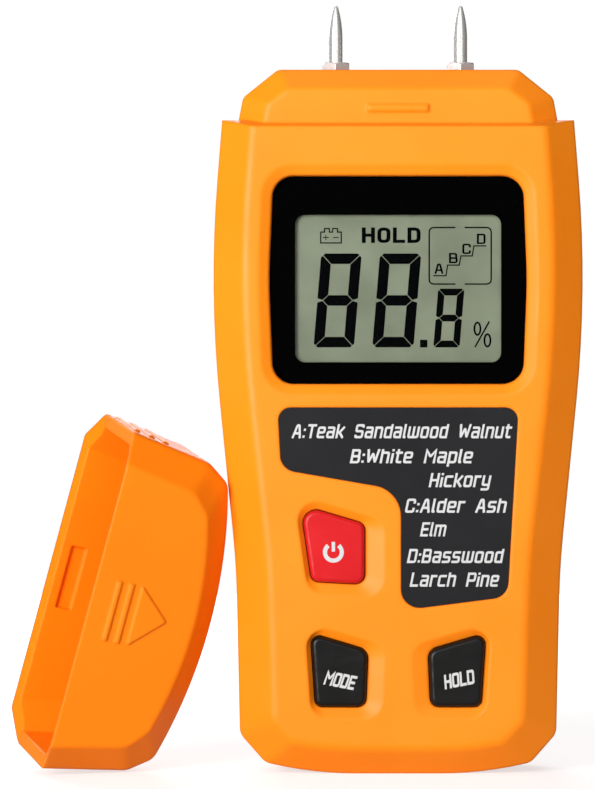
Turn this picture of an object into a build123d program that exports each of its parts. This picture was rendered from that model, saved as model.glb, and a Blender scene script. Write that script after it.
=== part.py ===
from build123d import *
import os
from math import hypot, radians, tan

os.makedirs("parts", exist_ok=True)

# ---------------------------------------------------------------- main sizes (mm)
# +Z runs up towards the needles, the display faces -Y, the middle of the foot is the origin.
HALF_DEPTH = 14.5
LEDGE_MID = 121.0
LEDGE_DROP = 1.4
LEDGE_FRONT = LEDGE_MID - LEDGE_DROP
WALL = 2.2
BEVEL_DEPTH = 5.0
BEVEL_ACROSS = 5.7
BEVEL_SLANT = hypot(BEVEL_DEPTH, BEVEL_ACROSS)
EDGE_DEPTH = HALF_DEPTH - BEVEL_DEPTH
# These keep the slanted bevel as thick as the flat walls.
BEVEL_WALL = WALL * (BEVEL_SLANT - BEVEL_ACROSS) / BEVEL_DEPTH
CAVITY_EDGE = EDGE_DEPTH - WALL * (BEVEL_SLANT - BEVEL_DEPTH) / BEVEL_ACROSS
CEILING_EXTRA = 0.5
CAVITY_TOP = LEDGE_MID - WALL - CEILING_EXTRA
INNER = HALF_DEPTH - WALL
BODY_SOFT = 2.4

HEAD_INSET = 2.6
HEAD_BEVEL = 3.9
HEAD_RISE = 9.5
HEAD_HALF_DEPTH = HALF_DEPTH - HEAD_INSET
HEAD_EDGE_DEPTH = HEAD_HALF_DEPTH - HEAD_BEVEL
HEAD_TOP = LEDGE_MID + HEAD_RISE
HEAD_SOFT = 1.6
HEAD_ROOM_DEPTH = HEAD_HALF_DEPTH - WALL
HEAD_ROOM_EDGE = HEAD_EDGE_DEPTH - WALL / 2
CEILING = HEAD_TOP - WALL
BLANK_TOP = LEDGE_MID + 19.0

# Side outline, then the flat front panel inside the bevel: x, z, corner radius, right half.
WAIST = (30.0, 38.5)
SHOULDER = (35.1, LEDGE_MID - 31.4)
SIDE_HALF = [
    (15.43, 0.0, 70.0),
    (24.6, 2.05, 3.0),
    (29.3, 7.4, 3.0),
    (WAIST[0], WAIST[1], 150.0),
    (SHOULDER[0], SHOULDER[1], 230.0),
    (31.09, BLANK_TOP, 0.0),
]
PANEL_HALF = [
    (12.6, 5.0, 55.0),
    (19.2, 6.2, 3.4),
    (22.9, 10.2, 3.4),
    (23.7, WAIST[1], 150.0),
    (29.4, SHOULDER[1], 230.0),
    (25.4, BLANK_TOP, 0.0),
]
HEAD_SIDE_HALF = [
    (31.1, LEDGE_MID - 8.0, 0.0),
    (28.8, LEDGE_MID + 4.3, 2.0),
    (22.3, HEAD_TOP, 2.0),
]
HEAD_PANEL_HALF = [
    (25.9, LEDGE_MID - 8.0, 0.0),
    (24.1, LEDGE_MID + 2.9, 2.0),
    (20.4, HEAD_TOP - HEAD_BEVEL, 2.0),
]

# Well outside every piece, for cutting shapes that run right through.
FAR = 60.0

# ---------------------------------------------------------------- drawing helpers


def grown(corners, by):
    """A polygon with every side moved outwards; by is one distance or one for each side."""
    count = len(corners)
    area = 0.0
    for i in range(count):
        x0, z0 = corners[i][:2]
        x1, z1 = corners[(i + 1) % count][:2]
        area += x0 * z1 - x1 * z0
    turn = 1.0 if area > 0 else -1.0
    lines = []
    for i in range(count):
        x0, z0 = corners[i][:2]
        x1, z1 = corners[(i + 1) % count][:2]
        size = hypot(x1 - x0, z1 - z0)
        dx, dz = (x1 - x0) / size, (z1 - z0) / size
        step = by[i] if isinstance(by, (list, tuple)) else by
        lines.append((x0 + dz * step * turn, z0 - dx * step * turn, dx, dz, step))
    out = []
    for i in range(count):
        ax, az, adx, adz, step_a = lines[i - 1]
        bx, bz, bdx, bdz, step_b = lines[i]
        cross = adx * bdz - adz * bdx
        t = ((bx - ax) * bdz - (bz - az) * bdx) / cross
        radius = corners[i][2]
        if radius > 0:
            # A convex corner grows with the offset and an inside corner shrinks.
            radius = max(0.3, radius + min(step_a, step_b) * (1.0 if cross * turn > 0 else -1.0))
        out.append((ax + adx * t, az + adz * t, radius))
    return out


def with_radius(corners, radius):
    return [(x, z, radius) for x, z, _ in corners]


def both_sides(half):
    """Right-hand corners followed by their mirror images, in order round the outline."""
    return half + [(-x, z, r) for x, z, r in reversed(half)]


def mirrored(corners):
    return [(-x, z, r) for x, z, r in reversed(corners)]


def face_of(corners):
    """A flat face from corner points that each carry their own rounding radius."""
    count = len(corners)
    spans = []
    for i in range(count):
        x0, z0, _ = corners[i - 1]
        x, z, radius = corners[i]
        x1, z1, _ = corners[(i + 1) % count]
        a = hypot(x0 - x, z0 - z)
        b = hypot(x1 - x, z1 - z)
        ux, uz = (x0 - x) / a, (z0 - z) / a
        vx, vz = (x1 - x) / b, (z1 - z) / b
        if radius <= 0:
            spans.append(((x, z), None, (x, z)))
            continue
        dot = max(-1.0, min(1.0, ux * vx + uz * vz))
        # Half of the angle between the two sides gives tangent length and arc centre.
        half_tan = ((1 - dot) / (1 + dot)) ** 0.5
        reach = radius / half_tan
        half_sin = ((1 - dot) / 2) ** 0.5
        mx, mz = ux + vx, uz + vz
        size = hypot(mx, mz)
        depth = radius / half_sin - radius
        start = (x + ux * reach, z + uz * reach)
        middle = (x + mx / size * depth, z + mz / size * depth)
        end = (x + vx * reach, z + vz * reach)
        spans.append((start, middle, end))
    edges = []
    for i in range(count):
        start, middle, end = spans[i]
        if middle is not None:
            edges.append(ThreePointArc(start, middle, end))
        following = spans[(i + 1) % count][0]
        if hypot(following[0] - end[0], following[1] - end[1]) > 1e-4:
            edges.append(Line(end, following))
    return make_face(Wire(edges))


def at_depth(face, y):
    return Plane.XZ.offset(-y) * face


def slab(corners, y_front, y_back):
    """Solid between two depths from an outline drawn in X and Z."""
    return extrude(at_depth(face_of(corners), y_back), y_back - y_front)


def tapered(corners_a, y_a, corners_b, y_b):
    """Straight-sided solid that joins one outline to another of as many corners."""
    return loft([at_depth(face_of(corners_a), y_a), at_depth(face_of(corners_b), y_b)], ruled=True)


def bevelled(side, panel, edge_depth, half_depth):
    """A plate with slanted bevels between its side outline and its front and back panels."""
    sections = [
        at_depth(face_of(panel), half_depth),
        at_depth(face_of(side), edge_depth),
        at_depth(face_of(side), -edge_depth),
        at_depth(face_of(panel), -half_depth),
    ]
    return loft(sections, ruled=True)


def block(x0, x1, y0, y1, z0, z1):
    place = Pos((x0 + x1) / 2, (y0 + y1) / 2, (z0 + z1) / 2)
    return place * Box(x1 - x0, y1 - y0, z1 - z0)


def rod_y(x, z, radius, y0, y1):
    return Pos(x, (y0 + y1) / 2, z) * Rot(90, 0, 0) * Cylinder(radius, y1 - y0)


def rod_z(x, y, radius, z0, z1):
    return Pos(x, y, (z0 + z1) / 2) * Cylinder(radius, z1 - z0)


def level_edges(solid, y, tolerance=0.01):
    """Edges that lie wholly at one depth."""
    found = []
    for edge in solid.edges():
        box = edge.bounding_box()
        if abs(box.min.Y - y) < tolerance and abs(box.max.Y - y) < tolerance:
            found.append(edge)
    return ShapeList(found)


def inside(edges, x0, x1, z0, z1):
    found = []
    for edge in edges:
        middle = edge.position_at(0.5)
        if x0 < middle.X < x1 and z0 < middle.Z < z1:
            found.append(edge)
    return ShapeList(found)


def wire_run(points, radius):
    """Round insulated lead along straight runs joined by arcs as large as the runs allow."""
    corners = [Vector(*point) for point in points]
    bends = []
    for before, here, after in zip(corners, corners[1:], corners[2:]):
        turn = radians((here - before).get_angle(after - here))
        bends.append(0.45 * min((here - before).length, (after - here).length) / tan(turn / 2))
    path = FilletPolyline(points, radius=bends)
    profile = Plane(origin=path @ 0, z_dir=path % 0) * Circle(radius)
    print("lead bends", [round(bend, 1) for bend in bends])
    return sweep(profile, path=path)


def group(solids):
    return Compound(children=list(solids))


# ---------------------------------------------------------------- housing blank
side = both_sides(SIDE_HALF)
panel = both_sides(PANEL_HALF)


def below_ledge(lift, low):
    """Everything under the step that the cap closes on, seen from the side."""
    ramp = LEDGE_DROP / BEVEL_DEPTH
    far = HALF_DEPTH + 5.5
    drop = ramp * (far - EDGE_DEPTH)
    points = [
        (-far, low),
        (far, low),
        (far, LEDGE_MID - drop + lift),
        (EDGE_DEPTH, LEDGE_MID + lift),
        (-EDGE_DEPTH, LEDGE_MID + lift),
        (-far, LEDGE_MID - drop + lift),
    ]
    return extrude(Plane.YZ.offset(-FAR) * make_face(Polyline(points, close=True)), 2 * FAR)


body = bevelled(side, panel, EDGE_DEPTH, HALF_DEPTH)
for depth in (-HALF_DEPTH, HALF_DEPTH):
    rim = level_edges(body, depth).sort_by(Axis.Z)[:-1]
    body = fillet(rim, BODY_SOFT)
body = body & below_ledge(0.0, -5.0)

head_side = both_sides(HEAD_SIDE_HALF)
head_panel = both_sides(HEAD_PANEL_HALF)
head = bevelled(head_side, head_panel, HEAD_EDGE_DEPTH, HEAD_HALF_DEPTH)
for depth in (-HEAD_HALF_DEPTH, HEAD_HALF_DEPTH):
    rim = level_edges(head, depth).sort_by(Axis.Z)[1:]
    head = fillet(rim, HEAD_SOFT)

# Snap ribs of the head, which click into pockets inside the cap.
RIB_HALF = 5.75
RIB_LOW = LEDGE_MID + 1.35
RIB_HIGH = RIB_LOW + 1.5
RIB_PROUD = 0.5
ribs = []
for way in (-1, 1):
    outer = way * (HEAD_HALF_DEPTH + RIB_PROUD)
    inner = way * (HEAD_HALF_DEPTH - 1.0)
    low, high = min(outer, inner), max(outer, inner)
    rib = block(-RIB_HALF, RIB_HALF, low, high, RIB_LOW, RIB_HIGH)
    rib = chamfer(level_edges(rib, outer), 0.35)
    ribs.append(rib)

outer_blank = body + head + ribs[0] + ribs[1]

# ---------------------------------------------------------------- hollow
room_side = grown(side, -WALL)
room_panel = grown(panel, -BEVEL_WALL)
room = bevelled(room_side, room_panel, CAVITY_EDGE, INNER)
room = room & block(-FAR, FAR, -FAR, FAR, -5, CAVITY_TOP)
head_room_side = grown(head_side, -WALL)
head_room_panel = grown(head_panel, -WALL / 2)
head_room = bevelled(head_room_side, head_room_panel, HEAD_ROOM_EDGE, HEAD_ROOM_DEPTH)
shell = outer_blank - room - head_room

front = shell & block(-FAR, FAR, -FAR, 0, -5, 2 * LEDGE_MID)
rear = shell & block(-FAR, FAR, 0, FAR, -5, 2 * LEDGE_MID)

# ---------------------------------------------------------------- electrode seats
PIN_X = 11.7
PIN_RADIUS = 1.25
STEM_RADIUS = 0.9
SOCKET_RADIUS = 2.8
SOCKET_FLANGE = 3.5
SADDLE_HALF = 4.6
SADDLE_HIGH = CEILING - 2.3
SADDLE_LOW = SADDLE_HIGH - 3.0
BRIM_GAP = 0.05


def with_saddles(half, y0, y1):
    for x in (-PIN_X, PIN_X):
        saddle = block(x - SADDLE_HALF, x + SADDLE_HALF, y0, y1, SADDLE_LOW, SADDLE_HIGH)
        half = half + saddle
        half = half - rod_z(x, 0, SOCKET_RADIUS + 0.03, SADDLE_LOW - 4, CEILING)
        half = half - rod_z(x, 0, SOCKET_FLANGE + BRIM_GAP, SADDLE_HIGH, CEILING)
        half = half - rod_z(x, 0, STEM_RADIUS + 0.15, SADDLE_HIGH, HEAD_TOP + 10)
    return half


front = with_saddles(front, -HEAD_ROOM_DEPTH - 0.2, 0)
rear = with_saddles(rear, 0, HEAD_ROOM_DEPTH + 0.2)

# ---------------------------------------------------------------- display opening
LENS_TOP = LEDGE_MID - 10.55
LENS_HIGH = 38.3
LENS_LOW = LENS_TOP - LENS_HIGH
LENS = [
    (23.0, LENS_LOW, 4.0),
    (23.75, LENS_LOW + LENS_HIGH / 2, 90.0),
    (23.0, LENS_TOP, 4.0),
]
lens_outline = both_sides(LENS)
LENS_SET = 1.0
LENS_THICK = 1.1
MASK_THICK = 0.1
LENS_FRONT = -HALF_DEPTH + LENS_SET
LENS_BACK = LENS_FRONT + LENS_THICK
MASK_BACK = LENS_BACK + MASK_THICK
SILL_THICK = 0.8
SILL_BACK = MASK_BACK + SILL_THICK
SILL_EDGE = 2.1
WINDOW = (19.0, LENS_LOW + 4.0, LENS_LOW + 31.2, 1.8)
RECESS_MARGIN = 2.1
LENS_GAP = 0.15


def window_outline(margin):
    half, low, high, radius = WINDOW
    half, low, high = half + margin, low - margin, high + margin
    return [(half, low, radius), (half, high, radius), (-half, high, radius), (-half, low, radius)]


sill_front = min(MASK_BACK, -INNER) - 0.1
sill_half = LENS[1][0] + SILL_EDGE
sill = block(-sill_half, sill_half, sill_front, SILL_BACK, LENS_LOW - SILL_EDGE, LENS_TOP + 1.2)
front = front + sill
front = front - slab(grown(lens_outline, LENS_GAP), -FAR, MASK_BACK)
front = front - slab(window_outline(0.4), -FAR, SILL_BACK + 1)
recess = tapered(
    grown(lens_outline, RECESS_MARGIN + 0.02),
    -HALF_DEPTH - 0.01,
    grown(lens_outline, LENS_GAP),
    LENS_FRONT,
)
front = front - recess
recess_reach = RECESS_MARGIN + 0.5
rim = level_edges(front, -HALF_DEPTH, 0.02)
rim = inside(rim, -27, 27, LENS_LOW - recess_reach, LENS_TOP + recess_reach)
front = fillet(rim, 1.1)

# ---------------------------------------------------------------- chart label
CHART = [
    (-22.1, 67.8, 2.3),
    (-21.5, 56.4, 3.1),
    (0.6, 52.6, 5.8),
    (0.6, 30.5, 3.4),
    (20.1, 33.0, 3.1),
    (22.1, 67.8, 2.3),
]
CHART_DEEP = 0.3
front = front - slab(grown(CHART, 0.12), -FAR, -HALF_DEPTH + CHART_DEEP)

# ---------------------------------------------------------------- keys
POWER = [(-15.9, 35.8, 1.6), (-6.2, 35.3, 1.8), (-6.2, 46.35, 1.5), (-17.95, 49.85, 2.4)]
MODE = [(-15.2, 12.75, 1.4), (-6.05, 12.75, 1.6), (-5.6, 23.1, 2.0), (-16.1, 26.2, 1.5)]
HOLD = mirrored(MODE)
POWER_DISH = [2.4, 3.7, 1.7, 1.0]
MODE_DISH = [2.3, 3.2, 1.8, 1.0]
# Mirroring also reverses the order of the sides.
HOLD_DISH = [MODE_DISH[2], MODE_DISH[1], MODE_DISH[0], MODE_DISH[3]]
DISH_DEEP = 0.9
DISH_RADIUS = 3.6
KEY_GAP = 0.2
KEY_PROUD = 0.15
KEY_TRAVEL = 0.75
FLANGE_THICK = 1.1
FLANGE_FRONT = -INNER + 0.1
FLANGE_BACK = FLANGE_FRONT + FLANGE_THICK

# Depths of the display stack, the board and the switches, counted from the front.
GLASS_THICK = 2.2
STRIP_HIGH = 1.75
BOARD_THICK = 1.6
SWITCH_HIGH = 1.6
GLASS_FRONT = SILL_BACK + 0.05
GLASS_BACK = GLASS_FRONT + GLASS_THICK
BOARD_FRONT = GLASS_BACK + STRIP_HIGH
BOARD_BACK = BOARD_FRONT + BOARD_THICK
SWITCH_FRONT = BOARD_FRONT - SWITCH_HIGH
BOSS_BACK = SWITCH_FRONT - KEY_TRAVEL - 0.25
key_shapes = {
    "power": (POWER, POWER_DISH, (-11.6, 42.1)),
    "mode": (MODE, MODE_DISH, (-10.8, 18.9)),
    "hold": (HOLD, HOLD_DISH, (10.8, 18.9)),
}

for outline, dish, _ in key_shapes.values():
    floor = -HALF_DEPTH + DISH_DEEP
    wide = with_radius(grown(outline, dish), DISH_RADIUS)
    front = front - tapered(wide, -HALF_DEPTH - 0.001, grown(outline, 0.45), floor)
    front = front - slab(grown(outline, KEY_GAP), -FAR, -INNER + 1)

keys = {}
for key, (outline, _, centre) in key_shapes.items():
    top = slab(outline, -HALF_DEPTH - KEY_PROUD, FLANGE_FRONT)
    top = fillet(level_edges(top, -HALF_DEPTH - KEY_PROUD), 0.8)
    flange = slab(grown(outline, 0.9), FLANGE_FRONT, FLANGE_BACK)
    keys[key] = top + flange + rod_y(centre[0], centre[1], 1.9, FLANGE_BACK, BOSS_BACK)

# ---------------------------------------------------------------- screws
SCREW_TOP = LEDGE_MID - 6.0
SCREWS = [(-20.4, 10.0), (20.4, 10.0), (-23.5, SCREW_TOP), (23.5, SCREW_TOP)]
SEAT = HALF_DEPTH - 3.0
HEAD_RADIUS = 2.6
HEAD_HIGH = 1.8
SHANK_RADIUS = 1.4
BOSS_RADIUS = 3.4
SHANK_END = -8.0
for x, z in SCREWS:
    front = front + rod_y(x, z, BOSS_RADIUS, -INNER - 0.1, 0)
    front = front - rod_y(x, z, SHANK_RADIUS + 0.02, SHANK_END - 1.0, 1)
    rear = rear + rod_y(x, z, BOSS_RADIUS + 0.2, 0, INNER + 0.1)
    rear = rear - rod_y(x, z, SHANK_RADIUS + 0.2, -1, FAR)
    rear = rear - rod_y(x, z, HEAD_RADIUS + 0.25, SEAT, FAR)

screws = []
for x, z in SCREWS:
    screw = rod_y(x, z, HEAD_RADIUS, SEAT, SEAT + HEAD_HIGH)
    screw = fillet(level_edges(screw, SEAT + HEAD_HIGH), 0.6)
    screw = screw + rod_y(x, z, SHANK_RADIUS, SHANK_END, SEAT)
    slot_low = SEAT + HEAD_HIGH - 0.9
    screw = screw - block(x - 1.5, x + 1.5, slot_low, FAR, z - 0.35, z + 0.35)
    screw = screw - block(x - 0.35, x + 0.35, slot_low, FAR, z - 1.5, z + 1.5)
    screws.append(screw)

# ---------------------------------------------------------------- circuit board
board = slab(grown(side, -WALL - 0.5), BOARD_FRONT, BOARD_BACK)
BOARD_TOP = CAVITY_TOP - 0.7
board = board & block(-FAR, FAR, -FAR, FAR, 5.5, BOARD_TOP)
for x, z in SCREWS:
    board = board - rod_y(x, z, BOSS_RADIUS + 0.5, -FAR, FAR)
BOARD_SCREWS = [(-21.0, LENS_LOW - 5.3), (21.0, LENS_LOW - 5.3), (0.0, LENS_TOP + 4.0)]
board_screws = []
for x, z in BOARD_SCREWS:
    board = board - rod_y(x, z, 1.2, -FAR, FAR)
    front = front + rod_y(x, z, 2.4, -INNER - 0.1, BOARD_FRONT)
    front = front - rod_y(x, z, 1.02, BOARD_FRONT - 3.5, 1)
    screw = rod_y(x, z, 1.0, BOARD_FRONT - 3.3, BOARD_BACK) + rod_y(x, z, 2.0, BOARD_BACK, BOARD_BACK + 1.2)
    screw = screw - block(x - 1.3, x + 1.3, BOARD_BACK + 0.7, 0, z - 0.25, z + 0.25)
    board_screws.append(screw)

# ---------------------------------------------------------------- switches
SWITCH_HALF = 3.0
PLUNGER_RADIUS = 1.6
PLUNGER_LONG = 1.6
switch_bodies = []
plungers = {}
for key, (_, _, (x, z)) in key_shapes.items():
    case = Pos(x, (SWITCH_FRONT + BOARD_FRONT) / 2, z)
    case = case * Box(2 * SWITCH_HALF, SWITCH_HIGH, 2 * SWITCH_HALF)
    case = chamfer(case.edges().filter_by(Axis.Y), 0.5)
    case = case - rod_y(x, z, PLUNGER_RADIUS + 0.05, SWITCH_FRONT - 1, BOARD_FRONT - 0.15)
    switch_bodies.append(case)
    plungers[key] = rod_y(x, z, PLUNGER_RADIUS, BOSS_BACK, BOSS_BACK + PLUNGER_LONG)

# ---------------------------------------------------------------- display parts
lens = slab(lens_outline, LENS_FRONT, LENS_BACK)
lens = chamfer(level_edges(lens, LENS_FRONT), 0.25)
mask = slab(lens_outline, LENS_BACK, MASK_BACK) - slab(window_outline(0), -FAR, 0)
GLASS = (23.0, WINDOW[1] - 3.2, WINDOW[2] + 3.3)
half, low, high = GLASS
glass = block(-half, half, GLASS_FRONT, GLASS_BACK, low, high)
holder = block(-half - 2, half + 2, GLASS_FRONT, BOARD_FRONT, low - 1.8, high + 1.8)
holder = holder - block(-half - 0.1, half + 0.1, -FAR, 0, low - 0.1, high + 0.1)
strips = []
for z in (low + 0.4, high - 2.4):
    strips.append(block(-21, 21, GLASS_BACK, BOARD_FRONT, z, z + 2.0))
chart = slab(CHART, -HALF_DEPTH + 0.05, -HALF_DEPTH + CHART_DEEP)

# ---------------------------------------------------------------- battery bay and door
BATTERY_HALF = 13.25
BAY_HALF = BATTERY_HALF + 0.4
BAY_LOW = 9.6
BAY_WALL = 1.0
PAD_THICK = 1.6
BATTERY_THICK = 17.4
BATTERY_LONG = 48.5
BATTERY_LOW = BAY_LOW + PAD_THICK
BATTERY_HIGH = BATTERY_LOW + BATTERY_LONG
SNAP_ROOM = 5.9
BAY_HIGH = BATTERY_HIGH + SNAP_ROOM
DOOR_HALF = 15.0
DOOR_TOP = BAY_HIGH + 0.4
DOOR_THICK = 2.0
DOOR_INNER = HALF_DEPTH - DOOR_THICK
# The battery lies against the door, and the floor of its bay follows it.
BATTERY_BACK = DOOR_INNER - 0.1
BATTERY_FRONT = BATTERY_BACK - BATTERY_THICK
BAY_FRONT = BATTERY_FRONT - 0.05
BAY_BACK = BAY_FRONT - 0.7
TONGUE = 1.2
TONGUE_FRONT = DOOR_INNER + 0.25
TONGUE_BACK = TONGUE_FRONT + 0.8
DOOR_GAP = 0.2

bay = block(
    -BAY_HALF - BAY_WALL, BAY_HALF + BAY_WALL, BAY_BACK, INNER, BAY_LOW - BAY_WALL, BAY_HIGH + BAY_WALL
)
frame_half = DOOR_HALF + 2.5
frame = block(-frame_half, frame_half, DOOR_INNER - 1.5, INNER + 0.3, 1.8, DOOR_TOP + 4) & outer_blank
rear = rear + bay + frame
rear = rear - block(-BAY_HALF, BAY_HALF, BAY_FRONT, DOOR_INNER, BAY_LOW, BAY_HIGH)
rear = rear - block(-DOOR_HALF - DOOR_GAP, DOOR_HALF + DOOR_GAP, DOOR_INNER, FAR, -5, DOOR_TOP + DOOR_GAP)
reach = DOOR_HALF + TONGUE + DOOR_GAP
rear = rear - block(-reach, reach, TONGUE_FRONT - 0.1, TONGUE_BACK + 0.1, -5, DOOR_TOP - 4)
CATCH_HALF = 5.0
CATCH_HIGH = 1.6
rear = rear - block(
    -CATCH_HALF - 0.2, CATCH_HALF + 0.2, DOOR_INNER, TONGUE_BACK, DOOR_TOP, DOOR_TOP + CATCH_HIGH + 0.3
)
# Lead way out of the bay's top wall.
STUD_Y = BATTERY_FRONT + BATTERY_THICK / 2
LEAD_Y = STUD_Y - 3.2
rear = rear - block(3.5, 12.5, LEAD_Y - 4.0, LEAD_Y + 3.0, BAY_HIGH - 1, BAY_HIGH + 3)

door = block(-DOOR_HALF, DOOR_HALF, DOOR_INNER, HALF_DEPTH, -1, DOOR_TOP) & outer_blank
tongues = []
for way in (-1, 1):
    x0, x1 = sorted((way * (DOOR_HALF - 1), way * (DOOR_HALF + TONGUE)))
    tongues.append(block(x0, x1, TONGUE_FRONT, TONGUE_BACK, -1, DOOR_TOP - 5) & outer_blank)
door = door + tongues[0] + tongues[1]
door = door + block(
    -CATCH_HALF, CATCH_HALF, DOOR_INNER + 0.1, TONGUE_BACK - 0.1, DOOR_TOP - 2, DOOR_TOP + CATCH_HIGH
)
for i in range(6):
    z = DOOR_TOP - 16.0 + 2.2 * i
    door = door - block(-8, 8, HALF_DEPTH - 0.5, FAR, z, z + 1.1)

# ---------------------------------------------------------------- battery
battery = block(-BATTERY_HALF, BATTERY_HALF, BATTERY_FRONT, BATTERY_BACK, BATTERY_LOW, BATTERY_HIGH)
battery = fillet(battery.edges().filter_by(Axis.Z), 2.0)
STUD_X = 6.35
studs = [
    rod_z(-STUD_X, STUD_Y, 2.85, BATTERY_HIGH, BATTERY_HIGH + 2.5),
    Pos(STUD_X, STUD_Y, BATTERY_HIGH + 1.25) * extrude(RegularPolygon(4.0, 6), 1.25, both=True),
]
SNAP_TOP = BATTERY_HIGH + 4.0
snap = block(-12.5, 12.5, STUD_Y - 6.0, STUD_Y + 6.0, BATTERY_HIGH + 0.05, SNAP_TOP)
snap = fillet(snap.edges().filter_by(Axis.Z), 4.0)
snap = snap - rod_z(-STUD_X, STUD_Y, 2.95, BATTERY_HIGH - 1, BATTERY_HIGH + 2.6)
snap = snap - rod_z(STUD_X, STUD_Y, 4.1, BATTERY_HIGH - 1, BATTERY_HIGH + 2.6)
pad = block(-9.0, 9.0, STUD_Y - 5.2, STUD_Y + 5.3, BAY_LOW, BATTERY_LOW)

# ---------------------------------------------------------------- electronics
processor = block(-6.5, 6.5, BOARD_BACK, BOARD_BACK + 1.7, LENS_LOW + 11.9, LENS_LOW + 21.9)
processor = chamfer(level_edges(processor, BOARD_BACK + 1.7), 0.3)
amplifier = block(-18.0, -13.0, BOARD_BACK, BOARD_BACK + 1.5, LENS_LOW + 25.9, LENS_LOW + 29.9)
crystal = rod_z(15.0, BOARD_BACK + 1.5, 1.5, LENS_LOW + 11.9, LENS_LOW + 18.4)
filter_can = rod_y(16.5, LENS_LOW + 27.9, 3.1, BOARD_BACK, BOARD_BACK + 7.0)
filter_can = fillet(level_edges(filter_can, BOARD_BACK + 7.0), 0.4)
small = []
for column in range(5):
    for row in range(3):
        x = -24.0 + 4.0 * column
        z = LENS_LOW + 1.9 + 3.0 * row
        small.append(block(x, x + 2.0, BOARD_BACK, BOARD_BACK + 0.6, z, z + 1.2))
for row in range(4):
    z = LENS_LOW + 23.9 + 3.2 * row
    small.append(block(-4.0, -2.0, BOARD_BACK, BOARD_BACK + 0.6, z, z + 1.2))
    small.append(block(3.0, 5.0, BOARD_BACK, BOARD_BACK + 0.6, z, z + 1.2))

# ---------------------------------------------------------------- electrodes
TAPER_LOW = HEAD_TOP + 6.8
TIP = HEAD_TOP + 12.7
SOCKET_LOW = CEILING - 8.3
NEEDLE_LOW = SOCKET_LOW + 2.0
HEX_LOW = HEAD_TOP
HEX_HIGH = HEX_LOW + 1.9
HEX_AF = 5.0
RING_THICK = 0.7
NUT_HIGH = 2.1
RING_LOW = SOCKET_LOW - RING_THICK
NUT_LOW = RING_LOW - NUT_HIGH
STUD_LOW = NUT_LOW - 1.3
STUD_RADIUS = 1.9


def needle_at(x):
    edges = [
        Line((0, NEEDLE_LOW), (STEM_RADIUS, NEEDLE_LOW)),
        Line((STEM_RADIUS, NEEDLE_LOW), (STEM_RADIUS, HEX_HIGH)),
        Line((STEM_RADIUS, HEX_HIGH), (PIN_RADIUS, HEX_HIGH)),
        Line((PIN_RADIUS, HEX_HIGH), (PIN_RADIUS, TAPER_LOW)),
        ThreePointArc((PIN_RADIUS, TAPER_LOW), (0.78 * PIN_RADIUS, TAPER_LOW + 3.1), (0.42, TIP - 0.3)),
        Line((0.42, TIP - 0.3), (0.22, TIP - 0.05)),
        Line((0.22, TIP - 0.05), (0, TIP)),
        Line((0, TIP), (0, NEEDLE_LOW)),
    ]
    return Pos(x, 0, 0) * revolve(Plane.XZ * make_face(Wire(edges)), Axis.Z)


collars = []
sockets = []
rings = []
nuts = []
for x in (-PIN_X, PIN_X):
    hexagon = Rot(0, 0, 90) * RegularPolygon(HEX_AF / 3 ** 0.5, 6)
    nut = Pos(x, 0, HEX_LOW) * extrude(hexagon, HEX_HIGH - HEX_LOW)
    limit = Pos(x, 0, HEX_LOW) * Cylinder(3.2, 2 * (HEX_HIGH - HEX_LOW))
    limit = chamfer(limit.edges().group_by(Axis.Z)[-1], 0.75)
    collars.append((nut & limit) - rod_z(x, 0, STEM_RADIUS + 0.01, HEX_LOW - 5, HEX_HIGH + 5))
    socket = rod_z(x, 0, SOCKET_RADIUS, SOCKET_LOW, CEILING - 0.1)
    socket = socket + rod_z(x, 0, SOCKET_FLANGE, SADDLE_HIGH + 0.03, CEILING - BRIM_GAP)
    socket = socket - rod_z(x, 0, STEM_RADIUS + 0.02, NEEDLE_LOW - 0.1, HEAD_TOP)
    sockets.append(socket + rod_z(x, 0, STUD_RADIUS, STUD_LOW, SOCKET_LOW))
    ring = rod_z(x, 0, 3.2, RING_LOW, SOCKET_LOW)
    ring = ring + block(x - 1.2, x + 1.2, -5.6, -1.5, RING_LOW, SOCKET_LOW)
    rings.append(ring - rod_z(x, 0, STUD_RADIUS + 0.02, RING_LOW - 1, SOCKET_LOW + 1))
    small_hex = Rot(0, 0, 30) * RegularPolygon(3.2, 6)
    lock = Pos(x, 0, NUT_LOW) * extrude(small_hex, NUT_HIGH)
    nuts.append(lock - rod_z(x, 0, STUD_RADIUS + 0.02, NUT_LOW - 1, RING_LOW + 1))

LEAD = 0.6
LEAD_ON_BOARD = BOARD_BACK + LEAD + 0.05
signal_leads = []
for x in (-PIN_X, PIN_X):
    points = [
        (x, -4.2, RING_LOW),
        (x, -4.2, RING_LOW - 4.7),
        (x * 0.9, LEAD_ON_BOARD, RING_LOW - 9.5),
        (x * 0.88, LEAD_ON_BOARD, RING_LOW - 13.9),
    ]
    signal_leads.append(wire_run(points, LEAD))
LEAD_MID = (LEAD_Y + LEAD_ON_BOARD) / 2 - 0.225
red_points = [
    (6.0, LEAD_Y, SNAP_TOP),
    (6.0, LEAD_Y, SNAP_TOP + 3.8),
    (7.6, LEAD_MID, SNAP_TOP + 8.4),
    (9.2, LEAD_ON_BOARD, SNAP_TOP + 12.8),
    (9.6, LEAD_ON_BOARD, SNAP_TOP + 17.0),
]
black_points = [
    (9.8, LEAD_Y, SNAP_TOP),
    (9.8, LEAD_Y, SNAP_TOP + 3.6),
    (12.0, LEAD_MID, SNAP_TOP + 7.8),
    (14.6, LEAD_ON_BOARD, SNAP_TOP + 11.6),
    (15.6, LEAD_ON_BOARD, SNAP_TOP + 15.6),
]
red_lead = wire_run(red_points, LEAD)
black_lead = wire_run(black_points, LEAD)

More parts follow.
